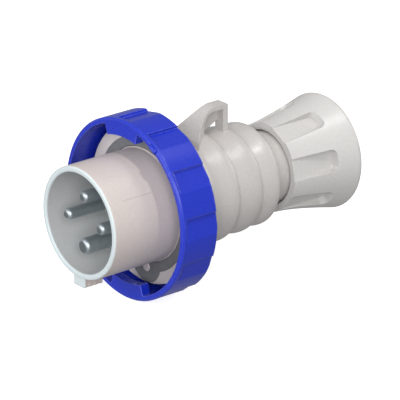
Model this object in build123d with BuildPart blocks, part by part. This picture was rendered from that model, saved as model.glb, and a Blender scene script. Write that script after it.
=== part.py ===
from build123d import *
import math
import os

os.makedirs("parts", exist_ok=True)

# Pin and sleeve plug, 16 A size, four poles.
# All lengths are in millimetres.
# The plug's axis is the Y axis: pins point to -Y, the cable leaves at +Y.
# Y = 0 is the sealing face of the flat gasket. +Z is twelve o'clock, the key is at six.

# Collar round the pins
collar_radius = 24.4
collar_wall = 2.6
collar_depth = 34.3
collar_root_step = 0.4
rim_round = 0.9
key_width = 7.4
key_height = 3.7
key_length = 9.2
key_setback = 0.3
key_round = 0.7
key_recess_count = 3
key_recess_start = 0.6
key_recess_pitch = 2.9
key_recess_width = 1.9
key_recess_depth = 0.8
key_recess_foot = 0.3

# Web, flange, barrel and spigot of the front housing
web_wall = 1.9
web_front = 2.2
flange_step = 1.7
flange_front = 1.8
flange_rear = 5.0
barrel_step = 6.4
barrel_rear = 8.0
spigot_wall = 2.2
spigot_length = 5.5
oring_groove_width = 2.4
oring_groove_depth = 1.2
oring_setback = 1.6
core_count = 8
core_width = 5.0
core_depth = 4.2
core_wall = 1.8
stop_span = 9.0
stop_height = 1.2

# Flat gasket
gasket_setback = 0.1
gasket_gap = 0.3

# Locking ring
ring_clearance = 2.4
ring_wall = 2.4
ring_front = -10.4
ring_lip = 1.9
ring_edge = 0.7
ring_tooth_count = 12
ring_tooth_drop = 1.3
ring_tooth_ramp = 14.0
ring_tooth_start = 20.0
ring_lug_count = 2
ring_lug_span = 33.0
ring_lug_clock = -2.5
ring_lug_height = 4.8
ring_lug_root = 0.8
ring_lug_depth = 4.2
ring_turn = 40.0
running_gap = 0.09
side_gap = 0.3
stop_gap = 0.3

# Contact pins
pin_circle = 11.0
phase_radius = 2.5
stem_step = 0.3
earth_radius = 3.5
tip_setback = 2.0
tip_round = 1.7
phase_barrel_radius = 4.2
earth_barrel_radius = 4.7
barrel_front = 6.5
phase_wire_radius = 2.2
earth_wire_radius = 2.5
wire_depth = 12.0

# Terminal screws
terminal_radius = 2.0
terminal_y = 18.0
terminal_reach = 0.6
terminal_head_radius = 2.6
terminal_head_height = 1.8
terminal_head_lift = 0.5
slot_width = 0.8
slot_depth = 0.8
thread_gap = 0.05

# Contact carrier and its cover
carrier_front = 1.0
carrier_flange_thickness = 3.0
carrier_body_step = 0.6
carrier_rear = 22.5
carrier_fit = 0.08
carrier_flange_gap = 0.4
boss_wall = 1.5
boss_height = 1.2
contact_fit = 0.05
window_gap = 0.5
cover_thickness = 2.6
cover_step = 0.4
funnel_rise = 1.2
cover_screw_radius = 1.5
cover_screw_length = 10.0
cover_head_radius = 2.7

# Carrier screws
carrier_screw_count = 4
carrier_screw_margin = 3.4
carrier_screw_clock = 45.0
carrier_screw_radius = 1.5
carrier_screw_grip = 4.4
screw_tip_gap = 0.4
screw_head_radius = 2.4
screw_head_height = 1.9

# Rear housing
shell_gap = 0.3
shoulder_overhang = 1.2
shoulder_width = 1.5
shoulder_foot_step = 0.8
shoulder_foot_y = 18.6
shell_wall = 2.5
skirt_fit = 0.09
rib_start_step = 0.7
rib_1_start = 20.6
rib_1_rise = 1.1
rib_1_end = 33.2
rib_2_fall = 0.8
rib_2_end = 46.2
rib_3_fall = 0.6
rib_3_end = 56.4
rib_edge_drop = 0.55
rib_step = 1.9
rib_crown_share = 0.72
rib_swell_share = 0.35
rib_slope = 0.5
neck_radius = 15.8
neck_front = 58.2
neck_length = 21.8
seal_pocket_depth = 14.0
neck_wall = 3.2
seal_seat_width = 3.2
cavity_rear = 54.0
cavity_step = 5.3

# Tether loop on top of the rear housing
loop_below_ring = 4.0
loop_half_width = 2.7
loop_rear = 43.8
loop_front = 22.6
loop_front_half_width = 9.2
loop_nose = 37.0
loop_neck_y = 35.0
loop_root = 2.1
loop_corner = 0.8
loop_leg = 2.6
loop_bar = 2.3
loop_web = 1.3
loop_flare = 1.7
hood_length = 14.4
hood_fall = 3.4
pocket_front = 30.0
pocket_run = 5.8
pocket_drop = 7.4
window_setback = 4.0
window_low_step = 0.4
window_high_step = 3.3

# Cable gland
gland_fit = 0.08
seal_length = 9.0
seal_bore = 6.2
seal_chamfer = 1.0
thrust_thickness = 1.5
thrust_lip = 0.4
basket_ring_length = 3.0
basket_shoulder_step = 0.72
basket_taper = 1.9
finger_length = 8.0
finger_wall = 2.3
basket_slot_count = 8
basket_slot_width = 2.0
basket_slot_start = 0.8
basket_tooth = 0.6
basket_tooth_count = 3
basket_tooth_pitch = 1.8

# Gland nut
nut_front = 66.8
nut_lip = 3.2
nut_widest = 97.8
nut_rear = 100.6
nut_flare = 5.6
nut_rear_step = 2.2
nut_flare_power = 1.35
nut_flare_steps = 6
nut_wall = 2.8
nut_mouth_step = 0.72
nut_mouth_depth = 2.6
nut_thread_run = 2.0
nut_cone_gap = 0.35
nut_throat_step = 1.0
nut_throat_run = 1.9
nut_throat_length = 4.8
nut_tube_step = 0.6
nut_core_wall = 2.6
nut_core_step = 3.2
nut_bell_floor = 91.2
nut_grip_count = 7
nut_grip_clock = 26.9
nut_grip_width = 9.4
nut_grip_wall = 3.02
nut_grip_rear = 88.6
nut_grip_round = 2.6


def around(clock):
    """Unit vector that points outward from the axis at a clock angle, twelve being +Z."""
    angle = math.radians(clock)
    return Vector(math.sin(angle), 0, math.cos(angle))


def on_clock(radius, clock):
    """Local point of a cross plane, at a radius and a clock angle."""
    angle = math.radians(clock)
    return (radius * math.sin(angle), radius * math.cos(angle))


def cross_plane(y, clock=0.0):
    """Plane across the axis at y. Its local y points outward at the clock angle, its normal is -Y."""
    angle = math.radians(clock)
    return Plane(origin=(0, y, 0), x_dir=(math.cos(angle), 0, -math.sin(angle)), z_dir=(0, -1, 0))


def radial_plane(clock, radius, y):
    """Plane that faces outward at a clock angle. Its local x is +Y."""
    return Plane(origin=around(clock) * radius + Vector(0, y, 0), x_dir=(0, 1, 0), z_dir=around(clock))


def half_section(points, centre=(0, 0)):
    """Closed half section with straight sides. Each point is (radius, y)."""
    with BuildSketch(Plane(origin=(centre[0], 0, centre[1]), x_dir=(1, 0, 0), z_dir=(0, 0, 1))) as section:
        with BuildLine():
            Polyline(*points, close=True)
        make_face()
    return section.sketch


def sector(inner, outer, start, end, y):
    """Ring sector across the axis at y, between two radii and two clock angles."""
    middle = (start + end) / 2
    with BuildSketch(cross_plane(y)) as face:
        with BuildLine():
            Line(on_clock(inner, start), on_clock(outer, start))
            ThreePointArc(on_clock(outer, start), on_clock(outer, middle), on_clock(outer, end))
            Line(on_clock(outer, end), on_clock(inner, end))
            ThreePointArc(on_clock(inner, end), on_clock(inner, middle), on_clock(inner, start))
        make_face()
    return face.sketch


def bar(width, inner, outer, y, clock):
    """Rectangle across the axis at y, between two radii at a clock angle."""
    with BuildSketch(cross_plane(y, clock)) as face:
        with Locations((0, (inner + outer) / 2)):
            Rectangle(width, outer - inner)
    return face.sketch


def spot(radius, y, centre=(0, 0)):
    """Round face across the axis at y."""
    with BuildSketch(cross_plane(y)) as face:
        with Locations(centre):
            Circle(radius)
    return face.sketch


# Sizes across the axis that follow: the housing grows outward from the contacts
web_radius = pin_circle + earth_barrel_radius + web_wall
carrier_body_radius = web_radius + carrier_body_step
cover_radius = carrier_body_radius - cover_step
carrier_screw_circle = web_radius + carrier_screw_margin
spigot_bore = carrier_screw_circle + carrier_screw_margin
spigot_radius = spigot_bore + spigot_wall
skirt_bore = spigot_radius + skirt_fit
barrel_radius = spigot_radius + barrel_step
core_inner = spigot_radius + core_wall
core_outer = barrel_radius - core_wall
flange_radius = barrel_radius + flange_step
gasket_radius = flange_radius - gasket_setback
collar_bore = collar_radius - collar_wall
collar_root = collar_radius + collar_root_step
collar_middle = collar_radius - collar_wall / 2
ring_bore = flange_radius + ring_clearance
ring_radius = ring_bore + ring_wall
ring_lug_radius = ring_bore - ring_lug_height
ring_collar_bore = barrel_radius + running_gap
stop_radius = barrel_radius + stop_height
shoulder_radius = barrel_radius + shoulder_overhang
shoulder_foot_radius = spigot_bore - shoulder_foot_step
rib_1_start_radius = shoulder_foot_radius - rib_start_step
rib_1_crown = rib_1_start_radius + rib_1_rise
rib_2_crown = rib_1_crown - rib_2_fall
rib_3_crown = rib_2_crown - rib_3_fall
cavity_rear_radius = rib_1_start_radius - cavity_step
loop_top = ring_radius - loop_below_ring
loop_foot = rib_1_start_radius - loop_root
window_low = rib_1_crown - window_low_step
window_high = rib_1_crown + window_high_step
seal_pocket_radius = neck_radius - neck_wall
wire_bore_radius = seal_pocket_radius - seal_seat_width
seal_radius = seal_pocket_radius - gland_fit
basket_shoulder_radius = seal_radius - basket_shoulder_step
basket_tip_radius = basket_shoulder_radius - basket_taper
basket_bore = basket_tip_radius - finger_wall
thrust_bore = basket_bore - thrust_lip
nut_bore = neck_radius + gland_fit
nut_mouth_radius = nut_bore + nut_mouth_step
nut_front_radius = nut_mouth_radius + nut_lip
nut_widest_radius = nut_front_radius + nut_flare
nut_rear_radius = nut_widest_radius - nut_rear_step
nut_grip_flat = nut_bore + nut_grip_wall
nut_core_radius = nut_grip_flat - nut_core_wall
nut_tube_radius = seal_pocket_radius + nut_tube_step
nut_throat_radius = basket_bore + nut_throat_step

# Sizes along the axis that follow
rim_y = -collar_depth
ring_rear = barrel_rear
ring_collar_front = flange_rear + side_gap
spigot_rear = barrel_rear + spigot_length
oring_groove_front = barrel_rear + oring_setback
skirt_rear = spigot_rear + side_gap
carrier_flange_rear = barrel_rear + carrier_flange_thickness
neck_rear = neck_front + neck_length
seal_seat = neck_rear - seal_pocket_depth
seal_rear = seal_seat + seal_length
thrust_rear = seal_rear + thrust_thickness
fingers_front = thrust_rear + basket_ring_length
basket_rear = fingers_front + finger_length
nut_mouth_rear = nut_front + nut_mouth_depth
nut_thread_rear = neck_rear + nut_thread_run
nut_core_floor = nut_thread_rear + nut_core_step
nut_throat_front = basket_rear + nut_throat_run
nut_tube_rear = nut_throat_front + nut_throat_length
pocket_top = loop_top - loop_bar
pocket_rear = loop_rear - loop_leg
pocket_nose = pocket_front + pocket_run
key_bottom = collar_radius + key_height
key_front = rim_y + key_setback
pin_tip = rim_y + tip_setback
stem_front = carrier_front - boss_height
screw_clocks = [carrier_screw_clock + 360 * i / carrier_screw_count for i in range(carrier_screw_count)]

# Front housing: collar, key, flange, barrel and spigot in one moulding
with BuildPart() as front_housing:
    revolve(
        half_section(
            [
                (collar_bore, rim_y),
                (collar_radius, rim_y),
                (collar_radius, 0),
                (collar_root, 0),
                (collar_root, flange_front),
                (flange_radius, flange_front),
                (flange_radius, flange_rear),
                (barrel_radius, flange_rear),
                (barrel_radius, barrel_rear),
                (spigot_radius, barrel_rear),
                (spigot_radius, spigot_rear),
                (spigot_bore, spigot_rear),
                (spigot_bore, barrel_rear),
                (web_radius, barrel_rear),
                (web_radius, web_front),
                (collar_bore, web_front),
            ]
        ),
        axis=Axis.Y,
    )
    fillet(front_housing.edges().filter_by(GeomType.CIRCLE).group_by(Axis.Y)[0], rim_round)
    # Short key at six o'clock, on the outside of the collar, with recesses in both its sides
    with BuildSketch(cross_plane(key_front + key_length, 180)) as key_face:
        with Locations((0, (collar_middle + key_bottom) / 2)):
            Rectangle(key_width, key_bottom - collar_middle)
        fillet(key_face.vertices().group_by(Axis.Y)[-1], key_round)
    extrude(key_face.sketch, amount=key_length)
    for index in range(key_recess_count):
        recess_rear = key_front + key_recess_start + key_recess_pitch * index + key_recess_width
        with BuildSketch(cross_plane(recess_rear, 180)) as key_recess:
            with Locations((-key_width / 2, key_bottom), (key_width / 2, key_bottom)):
                Rectangle(2 * key_recess_depth, 2 * (key_height - key_recess_foot))
        extrude(key_recess.sketch, amount=key_recess_width, mode=Mode.SUBTRACT)
    # Groove for the O-ring on the spigot
    revolve(
        half_section(
            [
                (spigot_radius - oring_groove_depth, oring_groove_front),
                (spigot_radius + 1, oring_groove_front),
                (spigot_radius + 1, oring_groove_front + oring_groove_width),
                (spigot_radius - oring_groove_depth, oring_groove_front + oring_groove_width),
            ]
        ),
        axis=Axis.Y,
        mode=Mode.SUBTRACT,
    )
    # Screw holes, and pockets that keep the thick barrel evenly walled
    for clock in screw_clocks:
        hole = spot(carrier_screw_radius + thread_gap, barrel_rear, on_clock(carrier_screw_circle, clock))
        extrude(hole, amount=carrier_screw_grip, mode=Mode.SUBTRACT)
    for index in range(core_count):
        clock = 360 * (index + 0.5) / core_count
        half_angle = math.degrees(core_width / core_inner)
        pocket = sector(core_inner, core_outer, clock - half_angle, clock + half_angle, barrel_rear)
        extrude(pocket, amount=core_depth, mode=Mode.SUBTRACT)
    # Stop that ends the locking ring's turn
    stop_face = sector(barrel_radius - 1, stop_radius, -stop_span / 2, stop_span / 2, barrel_rear)
    extrude(stop_face, amount=barrel_rear - flange_rear)

front_housing.part.label = "front_housing"
export_step(front_housing.part, "parts/front_housing.step")

# Flat gasket on the flange
with BuildPart() as face_gasket:
    revolve(
        half_section(
            [
                (collar_root + gasket_gap, 0),
                (gasket_radius, 0),
                (gasket_radius, flange_front),
                (collar_root + gasket_gap, flange_front),
            ]
        ),
        axis=Axis.Y,
    )

face_gasket.part.label = "face_gasket"
export_step(face_gasket.part, "parts/face_gasket.step")

# Locking ring: toothed sleeve with two bayonet lugs in front and a running collar behind
with BuildPart() as locking_ring:
    revolve(
        half_section(
            [
                (ring_bore, ring_front),
                (ring_radius, ring_front),
                (ring_radius, ring_rear),
                (ring_collar_bore, ring_rear),
                (ring_collar_bore, ring_collar_front),
                (ring_bore, ring_collar_front),
            ]
        ),
        axis=Axis.Y,
    )
    outer_edges = locking_ring.edges().filter_by(GeomType.CIRCLE).sort_by(SortBy.RADIUS)[-2:]
    chamfer(outer_edges, ring_edge)
    # Grip teeth: each drops at one clock angle and climbs back along a flat
    for index in range(ring_tooth_count):
        clock = ring_tooth_start + 360 * index / ring_tooth_count
        with BuildSketch(cross_plane(ring_rear)) as tooth_gap:
            with BuildLine():
                Polyline(
                    on_clock(ring_radius - ring_tooth_drop, clock),
                    on_clock(ring_radius, clock + ring_tooth_ramp),
                    on_clock(ring_radius + 3, clock + ring_tooth_ramp),
                    on_clock(ring_radius + 3, clock),
                    close=True,
                )
            make_face()
        extrude(tooth_gap.sketch, amount=ring_rear - ring_front - ring_lip, mode=Mode.SUBTRACT)
    for index in range(ring_lug_count):
        clock = ring_lug_clock + 360 * index / ring_lug_count
        start, end = clock - ring_lug_span / 2, clock + ring_lug_span / 2
        lug_face = sector(ring_lug_radius, ring_bore + ring_lug_root, start, end, ring_front + ring_lug_depth)
        extrude(lug_face, amount=ring_lug_depth)
    # Slot in the running collar for the stop
    slot_end = stop_span / 2 + math.degrees(stop_gap / barrel_radius)
    slot_face = sector(barrel_radius - 1, stop_radius + stop_gap, -slot_end, slot_end + ring_turn, ring_rear)
    extrude(slot_face, amount=ring_rear - ring_collar_front, mode=Mode.SUBTRACT)

locking_ring.part.label = "locking_ring"
export_step(locking_ring.part, "parts/locking_ring.step")


# Contact pins, each a turned pin with a terminal barrel behind it
def contact_pin(radius, barrel_radius, wire_radius, clock):
    """Turned contact with a blind wire bore and a cross hole for its terminal screw."""
    centre = on_clock(pin_circle, clock)
    line = Axis((centre[0], 0, centre[1]), (0, 1, 0))
    with BuildPart() as pin:
        revolve(
            half_section(
                [
                    (0, pin_tip),
                    (radius, pin_tip),
                    (radius, stem_front),
                    (radius + stem_step, stem_front),
                    (radius + stem_step, barrel_front),
                    (barrel_radius, barrel_front),
                    (barrel_radius, carrier_rear),
                    (wire_radius, carrier_rear),
                    (wire_radius, carrier_rear - wire_depth),
                    (0, carrier_rear - wire_depth),
                ],
                centre,
            ),
            axis=line,
        )
        fillet(pin.edges().filter_by(GeomType.CIRCLE).group_by(Axis.Y)[0], tip_round)
        with BuildSketch(radial_plane(clock, pin_circle, terminal_y)) as cross_hole:
            Circle(terminal_radius + thread_gap)
        extrude(cross_hole.sketch, amount=2 * barrel_radius, mode=Mode.SUBTRACT)
    return pin.part


def terminal_screw(barrel_radius, wire_radius, clock):
    """Slotted screw that presses the wire down in its barrel."""
    shank_start = pin_circle + wire_radius - terminal_reach
    head_start = pin_circle + barrel_radius + terminal_head_lift
    with BuildPart() as screw:
        with BuildSketch(radial_plane(clock, shank_start, terminal_y)) as shank:
            Circle(terminal_radius)
        extrude(shank.sketch, amount=head_start - shank_start)
        with BuildSketch(radial_plane(clock, head_start, terminal_y)) as head:
            Circle(terminal_head_radius)
        extrude(head.sketch, amount=terminal_head_height)
        with BuildSketch(radial_plane(clock, head_start + terminal_head_height, terminal_y)) as slot:
            Rectangle(slot_width, 3 * terminal_head_radius)
        extrude(slot.sketch, amount=-slot_depth, mode=Mode.SUBTRACT)
    return screw.part


contacts = {
    "l1": (phase_radius, phase_barrel_radius, phase_wire_radius, 270),
    "l2": (phase_radius, phase_barrel_radius, phase_wire_radius, 0),
    "l3": (phase_radius, phase_barrel_radius, phase_wire_radius, 90),
    "earth": (earth_radius, earth_barrel_radius, earth_wire_radius, 180),
}

for name, (radius, barrel_radius, wire_radius, clock) in contacts.items():
    pin_part = contact_pin(radius, barrel_radius, wire_radius, clock)
    pin_part.label = "pin_" + name
    export_step(pin_part, "parts/pin_" + name + ".step")
    screw_part = terminal_screw(barrel_radius, wire_radius, clock)
    screw_part.label = "terminal_screw_" + name
    export_step(screw_part, "parts/terminal_screw_" + name + ".step")

# Contact carrier: insulating body with a seat for each pin
with BuildPart() as contact_carrier:
    revolve(
        half_section(
            [
                (0, carrier_front),
                (web_radius - carrier_fit, carrier_front),
                (web_radius - carrier_fit, barrel_rear),
                (spigot_bore - carrier_flange_gap, barrel_rear),
                (spigot_bore - carrier_flange_gap, carrier_flange_rear),
                (carrier_body_radius, carrier_flange_rear),
                (carrier_body_radius, carrier_rear),
                (0, carrier_rear),
            ]
        ),
        axis=Axis.Y,
    )
    for radius, barrel_radius, wire_radius, clock in contacts.values():
        centre = on_clock(pin_circle, clock)
        extrude(spot(radius + stem_step + boss_wall, carrier_front, centre), amount=boss_height)
        stem_hole = spot(radius + stem_step + contact_fit, barrel_front, centre)
        extrude(stem_hole, amount=barrel_front - stem_front, mode=Mode.SUBTRACT)
        barrel_hole = spot(barrel_radius + contact_fit, carrier_rear, centre)
        extrude(barrel_hole, amount=carrier_rear - barrel_front, mode=Mode.SUBTRACT)
        with BuildSketch(radial_plane(clock, pin_circle, terminal_y)) as window:
            Circle(terminal_head_radius + window_gap)
        extrude(window.sketch, amount=carrier_body_radius, mode=Mode.SUBTRACT)
    for clock in screw_clocks:
        centre = on_clock(carrier_screw_circle, clock)
        hole = spot(carrier_screw_radius + thread_gap, carrier_flange_rear, centre)
        extrude(hole, amount=carrier_flange_thickness, mode=Mode.SUBTRACT)
    extrude(
        spot(cover_screw_radius + thread_gap, carrier_rear),
        amount=cover_screw_length - cover_thickness + 1,
        mode=Mode.SUBTRACT,
    )

contact_carrier.part.label = "contact_carrier"
export_step(contact_carrier.part, "parts/contact_carrier.step")

# Cover behind the carrier, with a funnel for each wire
cover_rear = carrier_rear + cover_thickness
with BuildPart() as carrier_cover:
    extrude(spot(cover_radius, cover_rear), amount=cover_thickness)
    for radius, barrel_radius, wire_radius, clock in contacts.values():
        centre = on_clock(pin_circle, clock)
        revolve(
            half_section(
                [
                    (0, carrier_rear - 1),
                    (wire_radius, carrier_rear - 1),
                    (wire_radius, carrier_rear + 0.4 * cover_thickness),
                    (wire_radius + funnel_rise, cover_rear + 0.001),
                    (0, cover_rear + 0.001),
                ],
                centre,
            ),
            axis=Axis((centre[0], 0, centre[1]), (0, 1, 0)),
            mode=Mode.SUBTRACT,
        )
    extrude(spot(cover_screw_radius + thread_gap, cover_rear), amount=cover_thickness, mode=Mode.SUBTRACT)

carrier_cover.part.label = "carrier_cover"
export_step(carrier_cover.part, "parts/carrier_cover.step")


def pan_screw(shank_radius, head_radius, seat, length, centre):
    """Screw along the axis with its head behind the seat and a cross recess."""
    with BuildPart() as screw:
        extrude(spot(shank_radius, seat, centre), amount=length)
        extrude(spot(head_radius, seat + screw_head_height, centre), amount=screw_head_height)
        head_edge = screw.edges().filter_by(GeomType.CIRCLE).group_by(Axis.Y)[-1]
        fillet(head_edge, 0.35 * screw_head_height)
        for turn in (0, 90):
            with BuildSketch(cross_plane(seat + screw_head_height)) as recess:
                with Locations(Location((centre[0], centre[1]), turn)):
                    Rectangle(slot_width, 1.2 * head_radius)
            extrude(recess.sketch, amount=0.6 * screw_head_height, mode=Mode.SUBTRACT)
    return screw.part


cover_screw = pan_screw(cover_screw_radius, cover_head_radius, cover_rear, cover_screw_length, (0, 0))
cover_screw.label = "cover_screw"
export_step(cover_screw, "parts/cover_screw.step")

screw_set = [
    pan_screw(
        carrier_screw_radius,
        screw_head_radius,
        carrier_flange_rear,
        carrier_flange_thickness + carrier_screw_grip - screw_tip_gap,
        on_clock(carrier_screw_circle, clock),
    )
    for clock in screw_clocks
]
carrier_screws = Compound(label="carrier_screws", children=screw_set)
export_step(carrier_screws, "parts/carrier_screws.step")

# O-ring between the two housings
oring_floor = spigot_radius - oring_groove_depth
oring_section = (skirt_bore - oring_floor) / 2 - thread_gap
with BuildPart() as housing_seal:
    with BuildSketch(Plane.XY) as oring_circle:
        with Locations(((oring_floor + skirt_bore) / 2, oring_groove_front + oring_groove_width / 2)):
            Circle(oring_section)
    revolve(oring_circle.sketch, axis=Axis.Y)

housing_seal.part.label = "housing_seal"
export_step(housing_seal.part, "parts/housing_seal.step")

# Rear housing: shoulder, three rounded ribs, neck and tether loop in one moulding
shell_front = ring_rear + shell_gap


def rib_points(start, end, crown):
    """Points of one rib's back: it swells to its crown and rounds off towards its rear edge."""
    base = crown - rib_step
    length = end - start
    return [
        (base, start),
        (base + rib_slope * rib_step, start + rib_swell_share * length),
        (crown, start + rib_crown_share * length),
        (crown - rib_edge_drop, end),
    ]


rib_1 = [(rib_1_start_radius, rib_1_start), *rib_points(rib_1_start, rib_1_end, rib_1_crown)[1:]]
rib_2 = rib_points(rib_1_end + rib_edge_drop, rib_2_end, rib_2_crown)
rib_3 = rib_points(rib_2_end + rib_edge_drop, rib_3_end, rib_3_crown)

# Tether loop: a hooded leg that flares towards the ring, a bar and a straight rear leg
hood_foot = rib_1_start_radius + 1.4
with BuildPart() as tether_loop:
    with BuildSketch(Plane.YZ) as loop_side:
        with BuildLine():
            Polyline(
                (loop_front, hood_foot),
                (loop_front, loop_foot),
                (loop_rear, loop_foot),
                (loop_rear, loop_top - loop_corner),
                (loop_rear - loop_corner, loop_top),
                (loop_nose, loop_top),
            )
            Spline(
                (loop_nose, loop_top),
                (loop_nose - hood_length / 2, loop_top - hood_fall),
                (loop_front, hood_foot),
                tangents=[(-1, -0.12), (-0.75, -1)],
            )
        make_face()
    extrude(loop_side.sketch, amount=loop_front_half_width, both=True)
    with BuildSketch(Plane.XY) as loop_plan:
        with BuildLine():
            Polyline(
                (loop_half_width, loop_neck_y),
                (loop_half_width, loop_rear),
                (0, loop_rear),
                (0, loop_front),
                (loop_front_half_width, loop_front),
            )
            Spline(
                (loop_half_width, loop_neck_y),
                (loop_half_width + loop_flare, loop_neck_y - hood_length / 2 + 1),
                (loop_front_half_width, loop_front),
                tangents=[(0, -1), (0.7, -0.7)],
            )
        make_face()
        mirror(about=Plane.YZ)
    extrude(loop_plan.sketch, amount=loop_top + 1, mode=Mode.INTERSECT)
    # Its opening: a deep pocket from one side and a smaller window through the far wall
    with BuildSketch(Plane.YZ.offset(loop_web - loop_half_width)) as pocket:
        with BuildLine():
            Polyline(
                (pocket_nose, pocket_top),
                (pocket_rear, pocket_top),
                (pocket_rear, loop_foot),
                (pocket_front, loop_foot),
                (pocket_front, pocket_top - pocket_drop),
            )
            ThreePointArc(
                (pocket_front, pocket_top - pocket_drop),
                (pocket_front + 0.28 * pocket_run, pocket_top - 0.3 * pocket_drop),
                (pocket_nose, pocket_top),
            )
        make_face()
    extrude(pocket.sketch, amount=2 * loop_front_half_width, mode=Mode.SUBTRACT)
    with BuildSketch(Plane.YZ.offset(-2 * loop_front_half_width)) as window:
        with BuildLine():
            Polyline(
                (pocket_front + window_setback, loop_foot),
                (pocket_front + window_setback, window_low),
                (pocket_rear, window_high),
                (pocket_rear, loop_foot),
                close=True,
            )
        make_face()
    extrude(window.sketch, amount=2 * loop_front_half_width, mode=Mode.SUBTRACT)

with BuildPart() as rear_housing:
    with BuildSketch(Plane.XY) as shell_section:
        with BuildLine():
            Polyline(
                (skirt_bore, shell_front),
                (shoulder_radius, shell_front),
                (shoulder_radius, shell_front + shoulder_width),
                (shoulder_foot_radius, shoulder_foot_y),
                rib_1[0],
            )
            Spline(*rib_1)
            Line(rib_1[-1], rib_2[0])
            Spline(*rib_2)
            Line(rib_2[-1], rib_3[0])
            Spline(*rib_3)
            Polyline(
                rib_3[-1],
                (neck_radius, neck_front),
                (neck_radius, neck_rear),
                (seal_pocket_radius, neck_rear),
                (seal_pocket_radius, seal_seat),
                (wire_bore_radius, seal_seat),
                (wire_bore_radius, neck_front + shell_wall),
                (cavity_rear_radius, cavity_rear),
                (cavity_rear_radius, rib_1_end),
                (rib_1_start_radius - shell_wall, rib_1_start),
                (spigot_bore, skirt_rear + shell_wall),
                (spigot_bore, skirt_rear),
                (skirt_bore, skirt_rear),
                (skirt_bore, shell_front),
            )
        make_face()
    revolve(shell_section.sketch, axis=Axis.Y)
    add(tether_loop.part)

rear_housing.part.label = "rear_housing"
export_step(rear_housing.part, "parts/rear_housing.step")

# Rubber seal that the cable passes through
with BuildPart() as gland_seal:
    revolve(
        half_section(
            [
                (seal_bore + seal_chamfer, seal_seat),
                (seal_radius, seal_seat),
                (seal_radius, seal_rear),
                (seal_bore + seal_chamfer, seal_rear),
                (seal_bore, seal_rear - seal_chamfer),
                (seal_bore, seal_seat + seal_chamfer),
            ]
        ),
        axis=Axis.Y,
    )

gland_seal.part.label = "gland_seal"
export_step(gland_seal.part, "parts/gland_seal.step")

# Slip washer between the seal and the clamp basket
with BuildPart() as thrust_ring:
    extrude(spot(seal_radius, thrust_rear), amount=thrust_thickness)
    extrude(spot(thrust_bore, thrust_rear), amount=thrust_thickness, mode=Mode.SUBTRACT)

thrust_ring.part.label = "thrust_ring"
export_step(thrust_ring.part, "parts/thrust_ring.step")

# Clamp basket: a ring with fingers that close on the cable
with BuildPart() as clamp_basket:
    revolve(
        half_section(
            [
                (basket_bore, thrust_rear),
                (seal_radius, thrust_rear),
                (seal_radius, fingers_front),
                (basket_shoulder_radius, fingers_front),
                (basket_tip_radius, basket_rear),
                (basket_bore, basket_rear),
            ]
        ),
        axis=Axis.Y,
    )
    for index in range(basket_tooth_count):
        tooth_y = basket_rear - basket_tooth_pitch * (index + 0.5)
        revolve(
            half_section(
                [
                    (basket_bore + 0.1, tooth_y - basket_tooth),
                    (basket_bore + 0.1, tooth_y + basket_tooth),
                    (basket_bore - basket_tooth, tooth_y),
                ]
            ),
            axis=Axis.Y,
        )
    for index in range(basket_slot_count):
        slot = bar(basket_slot_width, 0, seal_radius + 1, basket_rear, 360 * index / basket_slot_count)
        extrude(slot, amount=basket_rear - fingers_front - basket_slot_start, mode=Mode.SUBTRACT)

clamp_basket.part.label = "clamp_basket"
export_step(clamp_basket.part, "parts/clamp_basket.step")


def flare(y):
    """Outer radius of the gland nut at y."""
    share = (y - nut_front) / (nut_widest - nut_front)
    return nut_front_radius + (nut_widest_radius - nut_front_radius) * share**nut_flare_power


def cone(y):
    """Radius of the nut's clamping cone at y, parallel to the fingers' outside."""
    share = (y - fingers_front) / (basket_rear - fingers_front)
    return basket_shoulder_radius + (basket_tip_radius - basket_shoulder_radius) * share + nut_cone_gap


# Gland nut: flared trumpet with a threaded bore, a clamping cone and a cored bell round its throat
outer_ys = [nut_front + (nut_widest - nut_front) * i / nut_flare_steps for i in range(nut_flare_steps + 1)]
bell_ys = [nut_bell_floor + (nut_widest - nut_bell_floor) * i / 3 for i in range(4)]
with BuildPart() as gland_nut:
    with BuildSketch(Plane.XY) as nut_section:
        with BuildLine():
            Spline(*[(flare(y), y) for y in outer_ys])
            ThreePointArc(
                (nut_widest_radius, nut_widest),
                (nut_widest_radius - 0.15 * nut_rear_step, (nut_widest + 2 * nut_rear) / 3),
                (nut_rear_radius, nut_rear),
            )
            Line((nut_rear_radius, nut_rear), (flare(nut_widest) - nut_wall, nut_widest))
            Spline(*[(flare(y) - nut_wall, y) for y in reversed(bell_ys)])
            Polyline(
                (flare(nut_bell_floor) - nut_wall, nut_bell_floor),
                (nut_core_radius, nut_bell_floor),
                (nut_core_radius, nut_core_floor),
                (nut_tube_radius, nut_core_floor),
                (nut_tube_radius, nut_tube_rear),
                (nut_throat_radius, nut_tube_rear),
                (nut_throat_radius, nut_throat_front),
                (cone(basket_rear), basket_rear + nut_cone_gap),
                (cone(nut_thread_rear), nut_thread_rear),
                (nut_bore, nut_thread_rear),
                (nut_bore, nut_mouth_rear),
                (nut_mouth_radius, nut_mouth_rear),
                (nut_mouth_radius, nut_front),
                (nut_front_radius, nut_front),
            )
        make_face()
    revolve(nut_section.sketch, axis=Axis.Y)
    # Grips: shallow pockets open at the front edge, rounded at their rear end
    for index in range(nut_grip_count):
        clock = nut_grip_clock + 360 * index / nut_grip_count
        with BuildSketch(radial_plane(clock, nut_grip_flat, nut_front)) as grip:
            with Locations(((nut_grip_rear - nut_front) / 2, 0)):
                Rectangle(nut_grip_rear - nut_front, nut_grip_width)
            fillet(grip.vertices().group_by(Axis.X)[-1], nut_grip_round)
        extrude(grip.sketch, amount=nut_widest_radius, mode=Mode.SUBTRACT)

gland_nut.part.label = "gland_nut"
export_step(gland_nut.part, "parts/gland_nut.step")
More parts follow.
